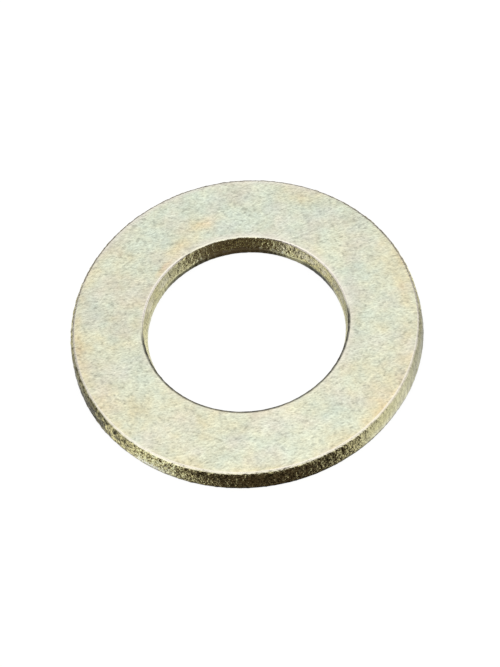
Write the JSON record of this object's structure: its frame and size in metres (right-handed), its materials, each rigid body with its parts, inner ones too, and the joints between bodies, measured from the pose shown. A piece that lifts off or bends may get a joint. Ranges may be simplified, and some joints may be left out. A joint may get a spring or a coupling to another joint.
{
  "type": "flat washer",
  "caption": "Plain flat washer, a thick zinc plated steel ring that spreads the load of a bolt head or nut over the surface below it.",
  "frame": {"origin": "centre of the lower bearing face, on the hole's axis", "axes": "+Z along the hole's axis, from the lower bearing face to the upper one; X and Y lie in the lower face"},
  "size_m": [0.05, 0.05, 0.0036],
  "materials": {
    "zinc_plated_steel": "electroplated zinc with a pale yellow passivate, satin"
  },
  "bodies": {
    "root": {"washer": "zinc_plated_steel"}
  },
  "joints": []
}
